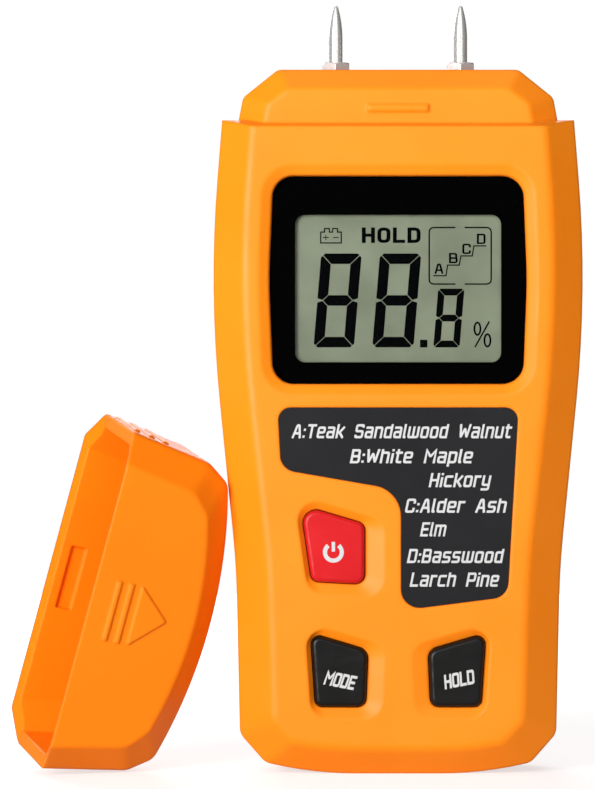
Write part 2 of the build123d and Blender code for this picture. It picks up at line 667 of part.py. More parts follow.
# ---------------------------------------------------------------- protective cap, drawn on the head
CAP_BASE = LEDGE_MID - 3.0
CAP_TAPER = (32.9 - 29.8) / 19.1
CAP_SIDE_HALF = [(32.9, CAP_BASE, 0.0), (29.8, CAP_BASE + 19.1, 4.0), (26.75, CAP_BASE + 23.6, 3.0)]
CAP_SIDE_TOP = (CAP_BASE + 30.77, 95.0)
CAP_PANEL_HALF = [(27.3, CAP_BASE, 0.0), (24.3, CAP_BASE + 16.0, 5.0), (20.6, CAP_BASE + 19.4, 4.0)]
CAP_PANEL_TOP = (CAP_BASE + 24.9, 70.0)
CAP_ROOM_SIDE = [(30.46, CAP_BASE - 1.0, 0.0), (27.5, CAP_BASE + 17.9, 3.0), (24.6, CAP_BASE + 22.9, 2.0)]
# Its roof passes 0.3 mm over the needle tips when the cap is on.
CAP_ROOM_TOP = (CAP_BASE + 29.5, 90.0)
CAP_ROOM_PANEL = [(25.6, CAP_BASE - 1.0, 0.0), (22.8, CAP_BASE + 14.6, 3.0), (19.2, CAP_BASE + 18.4, 2.0)]
CAP_ROOM_PANEL_TOP = (CAP_BASE + 24.0, 58.0)
CAP_CLEAR = 0.3
CAP_ROOM_DEPTH = HEAD_HALF_DEPTH + CAP_CLEAR
CAP_ROOM_EDGE = HEAD_EDGE_DEPTH + 0.2
CAP_GAP = 0.15
CAP_SOFT = 1.4
CAP_ROUND = 2.4


def arched(half, top):
    return half + [(0.0, top[0], top[1])] + [(-x, z, r) for x, z, r in reversed(half)]


cap = bevelled(
    arched(CAP_SIDE_HALF, CAP_SIDE_TOP), arched(CAP_PANEL_HALF, CAP_PANEL_TOP), EDGE_DEPTH, HALF_DEPTH
)
for depth in (-HALF_DEPTH, HALF_DEPTH):
    rim = level_edges(cap, depth).sort_by(Axis.Z)[1:]
    cap = fillet(rim, CAP_SOFT)
for depth in (-EDGE_DEPTH, EDGE_DEPTH):
    crease = level_edges(cap, depth).sort_by(Axis.Z)[1:]
    cap = fillet(crease, CAP_ROUND)
cap_room = bevelled(
    arched(CAP_ROOM_SIDE, CAP_ROOM_TOP),
    arched(CAP_ROOM_PANEL, CAP_ROOM_PANEL_TOP),
    CAP_ROOM_EDGE,
    CAP_ROOM_DEPTH,
)
cap = cap - cap_room - below_ledge(CAP_GAP, LEDGE_MID - 21.0)
POCKET_MID = LEDGE_FRONT + 4.2
for way in (-1, 1):
    y0, y1 = sorted((way * (CAP_ROOM_DEPTH - 0.5), way * (CAP_ROOM_DEPTH + 0.6)))
    cap = cap - block(-RIB_HALF - 0.3, RIB_HALF + 0.3, y0, y1, POCKET_MID - 1.5, POCKET_MID + 1.5)
# Raised arrow and bars that show which way the cap pulls off.
RAISED = 0.35
for low, high in ((4.2, 5.2), (6.6, 7.6)):
    bar = block(-5.7, 5.7, -HALF_DEPTH - RAISED, -HALF_DEPTH + 0.5, LEDGE_FRONT + low, LEDGE_FRONT + high)
    cap = cap + chamfer(level_edges(bar, -HALF_DEPTH - RAISED), 0.2)
arrow = slab(
    [
        (-5.9, LEDGE_FRONT + 9.0, 0.3),
        (5.9, LEDGE_FRONT + 9.0, 0.3),
        (0.0, LEDGE_FRONT + 15.4, 0.4),
    ],
    -HALF_DEPTH - RAISED,
    -HALF_DEPTH + 0.5,
)
cap = cap + chamfer(level_edges(arrow, -HALF_DEPTH - RAISED), 0.2)
# Short grip ribs across both narrow walls.
for way in (-1, 1):
    for u in (3.0, 6.0, 9.0):
        z = LEDGE_FRONT + u
        x = CAP_SIDE_HALF[0][0] - (z - CAP_BASE) * CAP_TAPER
        cap = cap + Pos(way * (x - 0.2), 0, z) * Rot(90, 0, 0) * Cylinder(0.65, 13.0)

# The cap lies off the meter: it stands on one narrow wall and leans towards the housing,
# closed end against the housing's side and mouth turned out to the front left.
CAP_SPAN = (-0.266, 0.085, -0.96)
CAP_AXIS = (0.901, 0.375, -0.216)
CAP_PIVOT = (0.0, 0.0, LEDGE_MID + 10.0)
# Its corner meets the housing's side at this height, so its place follows that side.
TOUCH_HEIGHT = 54.9
rise = (TOUCH_HEIGHT - WAIST[1]) / (SHOULDER[1] - WAIST[1])
touch_half = WAIST[0] + (SHOULDER[0] - WAIST[0]) * rise
CAP_CENTRE = (-touch_half - 14.5 - 0.342 * HALF_DEPTH, -4.0, 29.23 + 0.177 * HALF_DEPTH)
resting = Plane(origin=CAP_CENTRE, x_dir=CAP_SPAN, z_dir=CAP_AXIS)
cap_seated = cap
cap = resting.location * Pos(*(-value for value in CAP_PIVOT)) * cap_seated

# ---------------------------------------------------------------- write one file per piece
nodes = {
    "front_cover": front,
    "rear_cover": rear,
    "battery_door": door,
    "protective_cap": cap,
    "display_lens": lens,
    "display_mask": mask,
    "display_glass": glass,
    "display_holder": holder,
    "contact_strips": group(strips),
    "chart_label": chart,
    "power_key": keys["power"],
    "mode_key": keys["mode"],
    "hold_key": keys["hold"],
    "power_plunger": plungers["power"],
    "mode_plunger": plungers["mode"],
    "hold_plunger": plungers["hold"],
    "switch_bodies": group(switch_bodies),
    "needle_left": needle_at(-PIN_X),
    "needle_right": needle_at(PIN_X),
    "hex_collars": group(collars),
    "electrode_sockets": group(sockets),
    "ring_terminals": group(rings),
    "terminal_nuts": group(nuts),
    "electrode_leads": group(signal_leads),
    "circuit_board": board,
    "board_screws": group(board_screws),
    "processor": processor,
    "amplifier_chip": amplifier,
    "crystal_can": crystal,
    "filter_capacitor": filter_can,
    "small_components": group(small),
    "battery_block": battery,
    "battery_terminals": group(studs),
    "battery_snap": snap,
    "battery_pad": pad,
    "battery_lead_red": red_lead,
    "battery_lead_black": black_lead,
    "housing_screws": group(screws),
}
for name, solid in nodes.items():
    export_step(solid, f"parts/{name}.step")
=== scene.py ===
import math

import bmesh
import bpy
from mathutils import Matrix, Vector


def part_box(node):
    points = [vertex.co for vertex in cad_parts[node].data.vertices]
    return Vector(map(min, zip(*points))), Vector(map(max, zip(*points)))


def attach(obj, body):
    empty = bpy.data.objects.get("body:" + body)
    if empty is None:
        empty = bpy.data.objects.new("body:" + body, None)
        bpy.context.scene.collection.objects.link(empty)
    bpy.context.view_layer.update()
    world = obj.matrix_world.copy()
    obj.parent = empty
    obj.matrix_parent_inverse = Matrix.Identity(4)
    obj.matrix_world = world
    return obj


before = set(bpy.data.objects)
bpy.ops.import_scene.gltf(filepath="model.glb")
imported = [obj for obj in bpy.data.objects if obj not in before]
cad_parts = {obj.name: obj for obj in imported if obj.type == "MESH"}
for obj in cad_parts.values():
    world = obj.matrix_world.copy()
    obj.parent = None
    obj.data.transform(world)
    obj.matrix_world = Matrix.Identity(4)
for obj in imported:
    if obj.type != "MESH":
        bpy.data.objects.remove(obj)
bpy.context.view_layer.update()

MM = 0.001

# ---------------------------------------------------------------- camera
EYE_HEIGHT = 70.2 * MM
EYE_AWAY = 705.0 * MM
EYE_LENS = 171.3
EYE_SENSOR = 36.0
EYE_SHIFT = -0.1275
eye = bpy.data.cameras.new("eye")
eye.lens = EYE_LENS
eye.sensor_width = EYE_SENSOR
eye.shift_x = EYE_SHIFT
eye.clip_start = 0.05
eye.clip_end = 20.0
camera = bpy.data.objects.new("camera", eye)
camera.location = (0.0, -EYE_AWAY, EYE_HEIGHT)
camera.rotation_euler = (math.radians(90.0), 0.0, 0.0)
bpy.context.scene.collection.objects.link(camera)
bpy.context.scene.camera = camera

# ---------------------------------------------------------------- shader tools
EDGE_SAMPLES = 6


class Signal:
    """A shader socket that can stand in an ordinary sum."""

    def __init__(self, nodes, socket):
        self.nodes = nodes
        self.socket = socket

    def combine(self, operation, first, second):
        return self.nodes.add("Math", {"operation": operation}, {0: first, 1: second})

    def __add__(self, other):
        return self.combine("ADD", self, other)

    def __radd__(self, other):
        return self.combine("ADD", other, self)

    def __sub__(self, other):
        return self.combine("SUBTRACT", self, other)

    def __rsub__(self, other):
        return self.combine("SUBTRACT", other, self)

    def __mul__(self, other):
        return self.combine("MULTIPLY", self, other)

    def __rmul__(self, other):
        return self.combine("MULTIPLY", other, self)


class Nodes:
    """The shader nodes of one material or of the world."""

    def __init__(self, owner):
        owner.use_nodes = True
        self.tree = owner.node_tree
        self.tree.nodes.clear()

    def add(self, kind, settings=None, sockets=None, output=0):
        """One node with its settings and sockets; what comes back is one of its outputs."""
        node = self.tree.nodes.new("ShaderNode" + kind)
        for key, value in (settings or {}).items():
            setattr(node, key, value)
        for key, value in (sockets or {}).items():
            if isinstance(value, Signal):
                self.tree.links.new(value.socket, node.inputs[key])
            else:
                node.inputs[key].default_value = value
        return Signal(self, node.outputs[output] if node.outputs else None)


class Finish(Nodes):
    """A material under construction."""

    def __init__(self, name):
        self.material = bpy.data.materials.new(name)
        super().__init__(self.material)
        self.place = self.add("TexCoord", output="Object")

    def noise(self, size, detail=2.0, stretch=None):
        """Cloudy values from 0 to 1 whose spots are about size metres across."""
        place = self.place
        if stretch:
            place = self.add("Mapping", None, {"Vector": place, "Scale": stretch})
        return self.add("TexNoise", None, {"Vector": place, "Scale": 1.0 / size, "Detail": detail})

    def spread(self, value, low, high):
        """Values from low to high spread over 0 to 1, and held at those ends beyond them."""
        ends = {"Value": value, "From Min": low, "From Max": high, "To Min": 0.0, "To Max": 1.0}
        return self.add("MapRange", {"clamp": True}, ends)

    def tint(self, factor, first, second):
        """The first colour where factor is 0 and the second where it is 1."""
        settings = {"data_type": "RGBA", "blend_type": "MIX"}
        return self.add("Mix", settings, {0: factor, 6: first, 7: second}, output=2)

    def soft_edges(self, radius):
        """Normals that turn smoothly over each edge, as on a small round of that radius."""
        return self.add("Bevel", {"samples": EDGE_SAMPLES}, {"Radius": radius})

    def bump(self, height, depth, normal=None):
        """Normals of a relief that is depth metres high where height is 1."""
        sockets = {"Height": height, "Strength": 1.0, "Distance": depth}
        if normal:
            sockets["Normal"] = normal
        return self.add("Bump", None, sockets)

    def close(self, shader):
        """The finished material."""
        self.add("OutputMaterial", None, {"Surface": shader})
        return self.material

    def surface(self, **sockets):
        """The Principled surface; keywords are its sockets in small letters."""
        named = {}
        for key, value in sockets.items():
            words = [word.upper() if word == "ior" else word.capitalize() for word in key.split("_")]
            named[" ".join(words)] = value
        return self.add("BsdfPrincipled", None, named)


def rgb(red, green, blue):
    return (red, green, blue, 1.0)


def scaled(colour, by):
    return (colour[0] * by, colour[1] * by, colour[2] * by, 1.0)


# ---------------------------------------------------------------- finishes
DRIFT_SIZE = 22 * MM
SMEAR_SIZE = 6 * MM
SCUFF_SIZE = 0.9 * MM
SCUFF_DEPTH = 0.003 * MM
GLOW_DEPTH = 2.5 * MM


def moulded(
    name, colour, other, rough, grain, grain_depth, edge, coat=0.0, level=0.5, glow=0.0, flow=None
):
    """Injection-moulded plastic: faint colour drift, spark-eroded grain, handling scuffs.

    flow stretches the grain into long soft waves, as on the key tops.
    """
    finish = Finish(name)
    drift = finish.noise(DRIFT_SIZE, 3.0)
    clouds = finish.spread(drift, 0.35, 0.7)
    smears = finish.spread(finish.noise(SMEAR_SIZE, 4.0), 0.42, 0.72)
    scratches = finish.noise(SCUFF_SIZE, 2.0, stretch=(1.0, 1.0, 0.09))
    scuffs = finish.spread(scratches, 0.66, 0.74) * smears
    grains = finish.noise(grain, 1.0, stretch=flow)
    shade = finish.tint(clouds, colour, other)
    worn = finish.tint(scuffs * 0.10, shade, scaled(other, 1.12))
    roughness = rough + smears * 0.07 - clouds * 0.03 + scuffs * 0.08
    relief = grains - scuffs * (SCUFF_DEPTH / grain_depth)
    normal = finish.bump(relief, grain_depth, finish.soft_edges(edge))
    sockets = {
        "base_color": worn,
        "roughness": roughness,
        "normal": normal,
        "specular_ior_level": level,
        "coat_weight": coat,
        "coat_roughness": 0.18,
    }
    if glow:
        sockets["subsurface_weight"] = glow
        sockets["subsurface_radius"] = (1.0, 0.35, 0.08)
        sockets["subsurface_scale"] = GLOW_DEPTH
    return finish.close(finish.surface(**sockets))


def soft_rubber(name, colour, rough=0.6, streaks=None):
    """Rubber or a thin insulated sleeve with a dusty bloom."""
    finish = Finish(name)
    bloom = finish.spread(finish.noise(2.5 * MM, 4.0), 0.4, 0.75)
    pores = finish.noise(0.25 * MM, 2.0, stretch=streaks)
    shade = finish.tint(bloom * 0.35, colour, scaled(colour, 1.6))
    normal = finish.bump(pores, 0.03 * MM)
    return finish.close(finish.surface(base_color=shade, roughness=rough + bloom * 0.12, normal=normal))


def turned_metal(name, colour, rough, stretch, tarnish=0.15, edge=0.08 * MM, metallic=1.0):
    """Metal with fine tool marks along one direction and slight tarnish."""
    finish = Finish(name)
    marks = finish.noise(0.22 * MM, 3.0, stretch=stretch)
    dull = finish.spread(finish.noise(1.6 * MM, 4.0), 0.45, 0.75)
    shade = finish.tint(dull * tarnish * 2.0, colour, scaled(colour, 0.62))
    roughness = rough + dull * tarnish + marks * 0.06
    normal = finish.bump(marks, 0.0012 * MM, finish.soft_edges(edge))
    sockets = {"base_color": shade, "metallic": metallic, "roughness": roughness, "normal": normal}
    return finish.close(finish.surface(**sockets))


def clear_window(name):
    """Hard-coated clear acrylic, seen mostly through, glossy where light grazes it."""
    finish = Finish(name)
    haze = finish.spread(finish.noise(9 * MM, 4.0), 0.45, 0.8)
    hairlines = finish.spread(finish.noise(0.5 * MM, 2.0, stretch=(0.12, 1.0, 1.0)), 0.7, 0.76)
    gloss = finish.surface(
        base_color=rgb(0.02, 0.021, 0.02),
        roughness=0.05 + haze * 0.05 + hairlines * 0.12,
        ior=1.49,
    )
    open_part = finish.add("BsdfTransparent", None, {"Color": rgb(0.97, 0.98, 0.97)})
    grazing = finish.add("Fresnel", None, {"IOR": 1.49})
    share = grazing * 0.13 + hairlines * 0.004
    shader = finish.add("MixShader", None, {0: share, 1: open_part, 2: gloss})
    finish.material.surface_render_method = "BLENDED"
    return finish.close(shader)


def crystal_panel(name):
    """Reflective liquid crystal panel: pale grey-green with a faint mottle and a fine speck."""
    finish = Finish(name)
    mottle = finish.spread(finish.noise(7 * MM, 4.0), 0.3, 0.75)
    speck = finish.noise(0.16 * MM, 1.0)
    shade = finish.tint(mottle, rgb(0.140, 0.158, 0.107), rgb(0.190, 0.214, 0.146))
    shade = finish.tint(finish.spread(speck, 0.35, 0.8) * 0.22, shade, rgb(0.13, 0.147, 0.098))
    normal = finish.bump(speck, 0.002 * MM)
    return finish.close(finish.surface(
        base_color=shade, roughness=0.34 + mottle * 0.08, normal=normal,
        coat_weight=0.35, coat_roughness=0.1,
    ))


def printed(name, colour, rough, cover=0.10, level=0.4):
    """Screen-printed ink: very slightly uneven cover and a fine tooth."""
    finish = Finish(name)
    patchy = finish.spread(finish.noise(0.5 * MM, 3.0), 0.45, 0.8)
    shade = finish.tint(patchy * cover, colour, scaled(colour, 0.72))
    normal = finish.bump(finish.noise(0.12 * MM, 2.0), 0.004 * MM)
    return finish.close(finish.surface(
        base_color=shade, roughness=rough + patchy * 0.1, normal=normal, specular_ior_level=level
    ))


def green_board(name):
    """Solder mask over copper runs, with bare laminate showing faintly between them."""
    finish = Finish(name)
    runs = finish.add(
        "TexWave", {"wave_type": "BANDS", "bands_direction": "DIAGONAL"},
        {"Vector": finish.place, "Scale": 320.0, "Distortion": 6.0, "Detail": 1.0, "Detail Scale": 90.0},
    )
    tracks = finish.spread(runs, 0.48, 0.56)
    cloth = finish.noise(0.4 * MM, 2.0)
    shade = finish.tint(tracks, rgb(0.012, 0.11, 0.04), rgb(0.025, 0.2, 0.07))
    shade = finish.tint(finish.spread(cloth, 0.4, 0.7) * 0.2, shade, rgb(0.03, 0.16, 0.05))
    normal = finish.bump(tracks, 0.03 * MM)
    return finish.close(finish.surface(
        base_color=shade, roughness=0.32 + cloth * 0.1, normal=normal,
        coat_weight=0.4, coat_roughness=0.2,
    ))


def battery_jacket(name):
    """Shrink-wrapped metal can: graphite, with a pale upper part and one thin pale line."""
    finish = Finish(name)
    low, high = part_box("battery_block")
    height = finish.add("SeparateXYZ", None, {0: finish.place}, output=2)
    long = high.z - low.z

    def above(share, blur):
        return finish.spread(height, low.z + share * long, low.z + (share + blur) * long)

    band = above(0.70, 0.005)
    thin = above(0.64, 0.003) - above(0.66, 0.003)
    creases = finish.noise(3 * MM, 3.0)
    shade = finish.tint(band, rgb(0.035, 0.038, 0.045), rgb(0.33, 0.35, 0.38))
    shade = finish.tint(thin, shade, rgb(0.5, 0.52, 0.55))
    normal = finish.bump(creases, 0.06 * MM, finish.soft_edges(0.3 * MM))
    return finish.close(finish.surface(
        base_color=shade, roughness=0.26 + creases * 0.1, normal=normal, metallic=0.35
    ))


def foam_block(name):
    """Closed-cell foam with small open cells at the cut faces."""
    finish = Finish(name)
    cells = finish.add("TexVoronoi", None, {"Vector": finish.place, "Scale": 1.0 / (0.5 * MM)})
    open_cells = finish.spread(cells, 0.1, 0.6)
    shade = finish.tint(open_cells, rgb(0.02, 0.02, 0.021), rgb(0.075, 0.075, 0.078))
    normal = finish.bump(open_cells, 0.2 * MM)
    return finish.close(finish.surface(base_color=shade, roughness=0.9, normal=normal))


housing_orange = moulded(
    "housing_orange", rgb(0.90, 0.222, 0.0040), rgb(0.92, 0.240, 0.007),
    rough=0.4, grain=0.28 * MM, grain_depth=0.006 * MM, edge=1.0 * MM, level=0.2,
)
cap_orange = moulded(
    "cap_orange", rgb(0.92, 0.208, 0.002), rgb(0.94, 0.220, 0.003),
    rough=0.4, grain=0.28 * MM, grain_depth=0.006 * MM, edge=0.7 * MM, level=0.18, glow=0.12,
)
KEY_WAVES = (0.35, 1.0, 1.0)
red_gloss = moulded(
    "red_gloss", rgb(0.50, 0.0048, 0.0075), rgb(0.57, 0.0075, 0.011),
    rough=0.3, grain=2.6 * MM, grain_depth=0.16 * MM, edge=0.3 * MM, coat=0.06, level=0.22,
    flow=KEY_WAVES,
)
black_gloss = moulded(
    "black_gloss", rgb(0.003, 0.0028, 0.0026), rgb(0.0058, 0.0054, 0.0052),
    rough=0.3, grain=2.6 * MM, grain_depth=0.16 * MM, edge=0.3 * MM, coat=0.04, level=0.2,
    flow=KEY_WAVES,
)
switch_black = moulded(
    "switch_black", rgb(0.015, 0.015, 0.015), rgb(0.025, 0.025, 0.026),
    rough=0.45, grain=0.2 * MM, grain_depth=0.01 * MM, edge=0.1 * MM,
)
epoxy_black = moulded(
    "epoxy_black", rgb(0.018, 0.018, 0.019), rgb(0.03, 0.03, 0.031),
    rough=0.55, grain=0.12 * MM, grain_depth=0.012 * MM, edge=0.06 * MM,
)
holder_white = moulded(
    "holder_white", rgb(0.78, 0.78, 0.74), rgb(0.85, 0.85, 0.82),
    rough=0.42, grain=0.3 * MM, grain_depth=0.008 * MM, edge=0.15 * MM,
)
ceramic_tan = moulded(
    "ceramic_tan", rgb(0.46, 0.30, 0.16), rgb(0.6, 0.44, 0.28),
    rough=0.5, grain=0.1 * MM, grain_depth=0.01 * MM, edge=0.06 * MM,
)
can_blue = moulded(
    "can_blue", rgb(0.02, 0.03, 0.12), rgb(0.03, 0.045, 0.17),
    rough=0.28, grain=0.5 * MM, grain_depth=0.01 * MM, edge=0.1 * MM, coat=0.3,
)
label_matt = moulded(
    "label_matt", rgb(0.0080, 0.0080, 0.0092), rgb(0.0105, 0.0105, 0.0118),
    rough=0.62, grain=0.14 * MM, grain_depth=0.012 * MM, edge=0.05 * MM, level=0.14,
)
mask_black = printed("mask_black", rgb(0.0008, 0.0008, 0.0009), 0.5, level=0.0)
ink_white = printed("ink_white", rgb(0.52, 0.52, 0.52), 0.5)
ink_segment = printed("ink_segment", rgb(0.0015, 0.0018, 0.002), 0.5, level=0.0)
needle_steel = turned_metal(
    "needle_steel", rgb(0.76, 0.76, 0.74), 0.24, (1.0, 1.0, 0.05), 0.06, metallic=0.7
)
collar_nickel = turned_metal(
    "collar_nickel", rgb(0.80, 0.74, 0.72), 0.26, (1.0, 1.0, 0.2), 0.08, metallic=0.65
)
brass_turned = turned_metal("brass_turned", rgb(0.72, 0.50, 0.18), 0.25, (1.0, 1.0, 6.0))
tin_plate = turned_metal("tin_plate", rgb(0.74, 0.73, 0.70), 0.32, (1.0, 1.0, 1.0), 0.2)
screw_zinc = turned_metal("screw_zinc", rgb(0.47, 0.48, 0.50), 0.33, (1.0, 0.2, 1.0), 0.25)
window_clear = clear_window("window_clear")
crystal_green = crystal_panel("crystal_green")
board_mask = green_board("board_mask")
jacket_graphite = battery_jacket("jacket_graphite")
foam_dark = foam_block("foam_dark")
rubber_black = soft_rubber("rubber_black", rgb(0.02, 0.02, 0.02), 0.6, (6.0, 1.0, 1.0))
sleeve_white = soft_rubber("sleeve_white", rgb(0.62, 0.61, 0.57), 0.42)
sleeve_red = soft_rubber("sleeve_red", rgb(0.55, 0.012, 0.01), 0.38)
sleeve_black = soft_rubber("sleeve_black", rgb(0.012, 0.012, 0.012), 0.4)

WORN_BY = {
    housing_orange: ["front_cover", "rear_cover", "battery_door"],
    cap_orange: ["protective_cap"],
    window_clear: ["display_lens"],
    mask_black: ["display_mask"],
    crystal_green: ["display_glass"],
    holder_white: ["display_holder"],
    rubber_black: ["contact_strips"],
    label_matt: ["chart_label"],
    red_gloss: ["power_key"],
    black_gloss: ["mode_key", "hold_key"],
    switch_black: ["power_plunger", "mode_plunger", "hold_plunger", "switch_bodies", "battery_snap"],
    needle_steel: ["needle_left", "needle_right"],
    collar_nickel: ["hex_collars"],
    brass_turned: ["electrode_sockets", "terminal_nuts"],
    tin_plate: ["ring_terminals", "battery_terminals", "crystal_can"],
    sleeve_white: ["electrode_leads"],
    board_mask: ["circuit_board"],
    screw_zinc: ["board_screws", "housing_screws"],
    epoxy_black: ["processor", "amplifier_chip"],
    can_blue: ["filter_capacitor"],
    ceramic_tan: ["small_components"],
    jacket_graphite: ["battery_block"],
    foam_dark: ["battery_pad"],
    sleeve_red: ["battery_lead_red"],
    sleeve_black: ["battery_lead_black"],
}
for material, names in WORN_BY.items():
    for name in names:
        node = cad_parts[name]
        if not node.material_slots:
            node.data.materials.append(material)
        for slot in node.material_slots:
            slot.material = material


# ---------------------------------------------------------------- flat print, built as thin solids
# Letters are strokes on a grid: x to the right, y up from the baseline, capitals 10 high and
# small letters 8 high. A mark maps to its width and its strokes; a final "o" closes a stroke,
# and a "k" after a point keeps that corner keen where the others are rounded.
# Ends that stop short of a letter's full height are cut where they stop.
LETTERS = {
    "A": (6.4, "0,0 2.3,10 4.1,10 6.4,0; 0.9,3.2 5.5,3.2"),
    "B": (6, "0,5 0,10k 5.6,10 5.6,5.2 5,5; 0,5 6,5 6,0 0,0k 0,5"),
    "C": (6, "6,6.8 6,10 0,10 0,0 6,0 6,3.2"),
    "D": (6, "0,0k 0,10k 6,10 6,0 o"),
    "E": (5.6, "5.6,10 0,10k 0,0k 5.6,0; 0,5 5,5"),
    "H": (6, "0,0 0,10; 6,0 6,10; 0,5 6,5"),
    "L": (5.4, "0,10 0,0k 5.4,0"),
    "M": (7.6, "0,0 0,10k 3.8,4.6 7.6,10k 7.6,0"),
    "O": (6, "0,0 0,10 6,10 6,0 o"),
    "P": (6, "0,0 0,10k 6,10 6,4.2 0,4.2"),
    "S": (6, "6,8 6,10 0,10 0,5 6,5 6,0 0,0 0,2"),
    "T": (6, "0,10 6,10; 3,10 3,0"),
    "W": (8.6, "0,10 1.6,0 4.3,7.4 7,0 8.6,10"),
    "a": (5.4, "0.4,8 5.4,8 5.4,0k 0,0 0,4.3 5.4,4.3"),
    "c": (5.2, "5.2,8 0,8 0,0 5.2,0"),
    "d": (5.4, "5.4,10 5.4,0k 0,0 0,8 5.4,8"),
    "e": (5.4, "0,3.9 5.4,3.9 5.4,8 0,8 0,0 5.2,0"),
    "h": (5.4, "0,0 0,10; 0,8 5.4,8 5.4,0"),
    "i": (0, "0,0 0,7.6; 0,9.1 0,10"),
    "k": (5.2, "0,0 0,10; 0,4 2,4 5.2,8; 2,4 5.2,0"),
    "l": (0.8, "0,10 0,0 0.8,0"),
    "m": (9, "0,0 0,8k 9,8 9,0; 4.5,8 4.5,0"),
    "n": (5.4, "0,0 0,8k 5.4,8 5.4,0"),
    "o": (5.4, "0,0 0,8 5.4,8 5.4,0 o"),
    "p": (5.4, "0,-2.8 0,8k 5.4,8 5.4,0 0,0"),
    "r": (3.8, "0,0 0,8k 3.8,8"),
    "s": (5.2, "5,8 0,8 0,4 5.2,4 5.2,0 0,0"),
    "t": (3.8, "1,10 1,0 3.8,0; 0,8 3.8,8"),
    "u": (5.4, "0,8 0,0 5.4,0k 5.4,8"),
    "w": (8.4, "0,8 0,0 8.4,0 8.4,8; 4.2,8 4.2,0"),
    "y": (5.4, "0,8 0,1 5.4,1; 5.4,8 5.4,-2.8 0,-2.8"),
    ":": (0, "0,0.4 0,1.4; 0,5.2 0,6.2"),
    " ": (5.2, ""),
}
CAPITAL = 10.0
SMALL = 8.0
# Thickness of the ink, and how much a stroke rises at each point, in millimetres.
INK = 0.03
RISE = 0.0004


def strokes_of(mark):
    """Each stroke of a letter: points, closed or not, keen corners, and which ends reach out."""
    lines = [line.split() for line in LETTERS[mark][1].split(";") if line.strip()]
    strokes = []
    for tokens in lines:
        closed = tokens[-1] == "o"
        tokens = tokens[:-1] if closed else tokens
        keen = [i for i, token in enumerate(tokens) if token.endswith("k")]
        points = [tuple(float(number) for number in token.rstrip("k").split(",")) for token in tokens]
        strokes.append((points, closed, keen))
    heights = [y for points, _, _ in strokes for _, y in points]
    out = []
    for points, closed, keen in strokes:
        outer = []
        for end, inside in ((points[0], points[1]), (points[-1], points[-2])):
            upright = end[0] == inside[0]
            short = upright and end[1] not in (min(heights), max(heights), SMALL)
            capital_stub = upright and mark.isupper() and end[1] == SMALL
            outer.append(0.0 if closed or short or capital_stub else 1.0)
        out.append((points, closed, keen, outer))
    return out


def rounded(points, radius, closed, keen=(), steps=3):
    """The same line with each corner turned into a small arc, but for the keen ones."""
    count = len(points)
    out = []
    for i, here in enumerate(points):
        if i in keen or (not closed and i in (0, count - 1)):
            out.append(here)
            continue
        before, after = points[i - 1], points[(i + 1) % count]
        reach = min(radius, 0.45 * (before - here).length, 0.45 * (after - here).length)
        start = here + (before - here).normalized() * reach
        end = here + (after - here).normalized() * reach
        for k in range(steps + 1):
            t = k / steps
            out.append(start * (1 - t) ** 2 + here * 2 * t * (1 - t) + end * t * t)
    return out


def band_sides(points, half, closed):
    """Points on both sides of a line, half a stroke away, with mitred corners."""
    count = len(points)
    left, right = [], []
    for i, here in enumerate(points):
        before = points[i - 1] if closed or i > 0 else None
        after = points[(i + 1) % count] if closed or i < count - 1 else None
        ways = []
        if before is not None:
            ways.append((here - before).normalized())
        if after is not None:
            ways.append((after - here).normalized())
        mean = sum(ways, Vector((0.0, 0.0))).normalized()
        normal = Vector((-mean.y, mean.x))
        reach = half / max(0.5, mean.dot(ways[0]))
        left.append(here + normal * reach)
        right.append(here - normal * reach)
    return left, right


